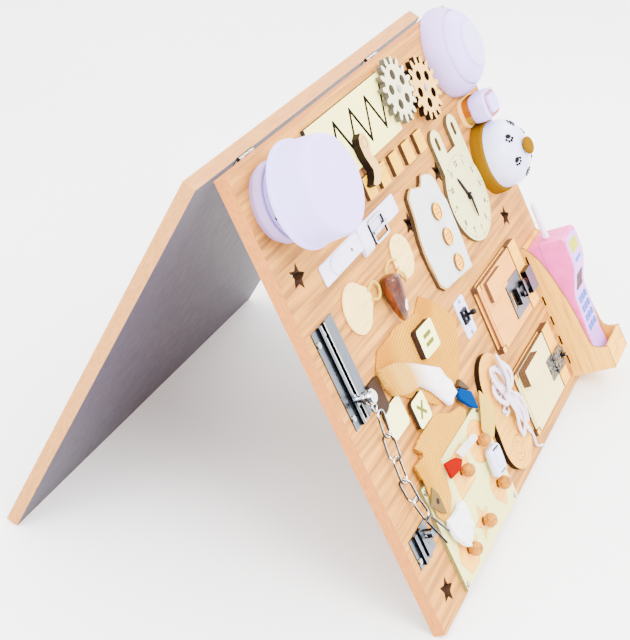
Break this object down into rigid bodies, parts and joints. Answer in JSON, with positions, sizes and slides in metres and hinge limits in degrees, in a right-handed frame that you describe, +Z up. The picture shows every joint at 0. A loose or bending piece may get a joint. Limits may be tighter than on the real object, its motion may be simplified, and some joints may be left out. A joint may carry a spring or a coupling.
{
  "type": "wooden busy board",
  "caption": "Folding A-frame wooden busy board with lamps, gears, latches, a chain guard, straps, a toy phone and a knob puzzle.",
  "frame": {"origin": "middle of the bounding box, on the surface the boards stand on", "axes": "+X along the fold, +Z up; the front board faces -Y"},
  "size_m": [0.625, 0.5542, 0.4905],
  "materials": {
    "birch": "sanded",
    "birch_edge": "sawn",
    "laminate": "satin",
    "steel": "brushed",
    "chrome_plate": "polished",
    "dark_steel": "satin",
    "white_plastic": "satin",
    "lilac_plastic": "satin",
    "orange_plastic": "satin",
    "yellow_plastic": "satin",
    "black_plastic": "satin",
    "pink_plastic": "satin",
    "cream_paint": "painted",
    "burnt_wood": "laser cut",
    "white_leather": "smooth",
    "horn": "polished",
    "cloth_blue": "felt",
    "hessian": "open weave",
    "caps": "satin",
    "cord": "braided",
    "knob_wood": "varnished"
  },
  "bodies": {
    "front": {"front_board": "birch", "hinge_leaves_front": "steel", "steel_fasteners": "steel", "lamp_base": "lilac_plastic", "dome_base": "lilac_plastic", "zigzag_plate": "cream_paint", "letter_blocks": "burnt_wood", "leather_straps": "white_leather", "buckle_frame": "chrome_plate", "toggle_patches": "white_leather", "horn_toggle": "horn", "vest_plate": "burnt_wood", "vest_cloth": "cloth_blue", "vest_buttons": "birch", "clock_plate": "cream_paint", "press_base": "orange_plastic", "press_cap": "white_plastic", "bell_ring": "yellow_plastic", "bell_dome": "white_plastic", "chain_plates": "chrome_plate", "chain_links": "chrome_plate", "woven_pads": "hessian", "end_caps": "caps", "math_tiles": "cream_paint", "switch_plate": "white_plastic", "shoe_plate": "burnt_wood", "shoe_lace": "cord", "elastic_strap": "hessian", "side_buckles": "white_plastic", "door_frames": "birch_edge", "latch_keepers": "dark_steel", "phone_holder": "birch", "puzzle_plate": "cream_paint"},
    "back": {"back_board": "birch", "back_sheet": "laminate", "hinge_leaves_back": "steel"},
    "lamp_head": {"lamp_cap": "white_plastic"},
    "dome_head": {"dome_lens": "white_plastic"},
    "slider": {"zigzag_slider": "burnt_wood"},
    "gear_a": {"gear_white": "cream_paint"},
    "gear_b": {"gear_wood": "burnt_wood"},
    "prong": {"buckle_prong": "chrome_plate"},
    "hour": {"hour_hand": "burnt_wood"},
    "minute": {"minute_hand": "burnt_wood"},
    "push_button": {"press_button": "white_plastic"},
    "bell_push": {"bell_button": "yellow_plastic"},
    "chain_knob": {"chain_slider": "chrome_plate"},
    "lever": {"switch_lever": "black_plastic"},
    "door_a": {"door_one": "birch", "latch_plate": "dark_steel"},
    "bolt": {"latch_bolt": "dark_steel"},
    "door_b": {"door_two": "cream_paint", "hasp_base": "steel"},
    "hasp": {"hasp_plate": "steel"},
    "phone": {"toy_phone": "pink_plastic"},
    "piece_square": {"puzzle_square": "knob_wood"},
    "piece_circle": {"puzzle_circle": "knob_wood"},
    "piece_hexagon": {"puzzle_hexagon": "knob_wood"},
    "piece_star": {"puzzle_star": "knob_wood"},
    "piece_shield": {"puzzle_shield": "knob_wood"}
  },
  "joints": [
    {"name": "fold", "type": "hinge", "parent": "front", "child": "back", "pos_m": [-0.057, 0.02402, 0.45114], "axis": [1, 0, 0], "range_deg": [-55.6, 0]},
    {"name": "lamp_press", "type": "slide", "parent": "front", "child": "lamp_head", "axis": [0, 0.8846, -0.4664], "range_m": [0, 0.0025], "stiffness_N_per_m": 400, "springref_m": -0.003},
    {"name": "dome_press", "type": "slide", "parent": "front", "child": "dome_head", "axis": [0, 0.8846, -0.4664], "range_m": [0, 0.002], "stiffness_N_per_m": 400, "springref_m": -0.003},
    {"name": "zigzag", "type": "slide", "parent": "front", "child": "slider", "axis": [0.454, 0.4156, 0.7882], "range_m": [0, 0.046]},
    {"name": "gear_white_turn", "type": "hinge", "parent": "front", "child": "gear_a", "pos_m": [0.075, -0.01872, 0.42713], "axis": [0, -0.8846, 0.4664], "continuous": true},
    {"name": "gear_wood_turn", "type": "hinge", "parent": "front", "child": "gear_b", "pos_m": [0.14083, -0.02805, 0.40944], "axis": [0, -0.8846, 0.4664], "continuous": true},
    {"name": "prong_lift", "type": "hinge", "parent": "front", "child": "prong", "pos_m": [-0.06515, -0.0629, 0.33455], "axis": [0, 0.4664, 0.8846], "range_deg": [0, 100]},
    {"name": "hour_turn", "type": "hinge", "parent": "front", "child": "hour", "pos_m": [0.1515, -0.0925, 0.2829], "axis": [0, -0.8846, 0.4664], "continuous": true},
    {"name": "minute_turn", "type": "hinge", "parent": "front", "child": "minute", "pos_m": [0.1515, -0.09339, 0.28336], "axis": [0, -0.8846, 0.4664], "continuous": true},
    {"name": "button_press", "type": "slide", "parent": "front", "child": "push_button", "axis": [0, 0.8846, -0.4664], "range_m": [0, 0.002], "stiffness_N_per_m": 300, "springref_m": -0.002},
    {"name": "bell_press", "type": "slide", "parent": "front", "child": "bell_push", "axis": [0, 0.8846, -0.4664], "range_m": [0, 0.002], "stiffness_N_per_m": 200, "springref_m": -0.003},
    {"name": "chain_slide", "type": "slide", "parent": "front", "child": "chain_knob", "axis": [0, 0.4664, 0.8846], "range_m": [0, 0.06]},
    {"name": "switch_flip", "type": "hinge", "parent": "front", "child": "lever", "pos_m": [0.022, -0.13437, 0.19362], "axis": [1, 0, 0], "range_deg": [0, 26]},
    {"name": "door_one_open", "type": "hinge", "parent": "front", "child": "door_a", "pos_m": [0.0705, -0.1509, 0.16785], "axis": [0, -0.4664, -0.8846], "range_deg": [0, 105]},
    {"name": "bolt_slide", "type": "slide", "parent": "door_a", "child": "bolt", "axis": [1, 0, 0], "range_m": [0, 0.012]},
    {"name": "door_two_open", "type": "hinge", "parent": "front", "child": "door_b", "pos_m": [0.0665, -0.20453, 0.06613], "axis": [0, -0.4664, -0.8846], "range_deg": [0, 105]},
    {"name": "hasp_lift", "type": "hinge", "parent": "door_b", "child": "hasp", "pos_m": [0.1785, -0.21226, 0.06455], "axis": [0, -0.4664, -0.8846], "range_deg": [0, 150]},
    {"name": "phone_lift", "type": "slide", "parent": "front", "child": "phone", "axis": [0, 0.4664, 0.8846], "range_m": [0, 0.028]},
    {"name": "lift_square", "type": "slide", "parent": "front", "child": "piece_square", "axis": [0, -0.8846, 0.4664], "range_m": [0, 0.0045]},
    {"name": "lift_circle", "type": "slide", "parent": "front", "child": "piece_circle", "axis": [0, -0.8846, 0.4664], "range_m": [0, 0.0045]},
    {"name": "lift_hexagon", "type": "slide", "parent": "front", "child": "piece_hexagon", "axis": [0, -0.8846, 0.4664], "range_m": [0, 0.0045]},
    {"name": "lift_star", "type": "slide", "parent": "front", "child": "piece_star", "axis": [0, -0.8846, 0.4664], "range_m": [0, 0.01]},
    {"name": "lift_shield", "type": "slide", "parent": "front", "child": "piece_shield", "axis": [0, -0.8846, 0.4664], "range_m": [0, 0.0045]}
  ],
  "couplings": [
    {"joint": "gear_wood_turn", "follows": "gear_white_turn", "ratio": -1}
  ]
}
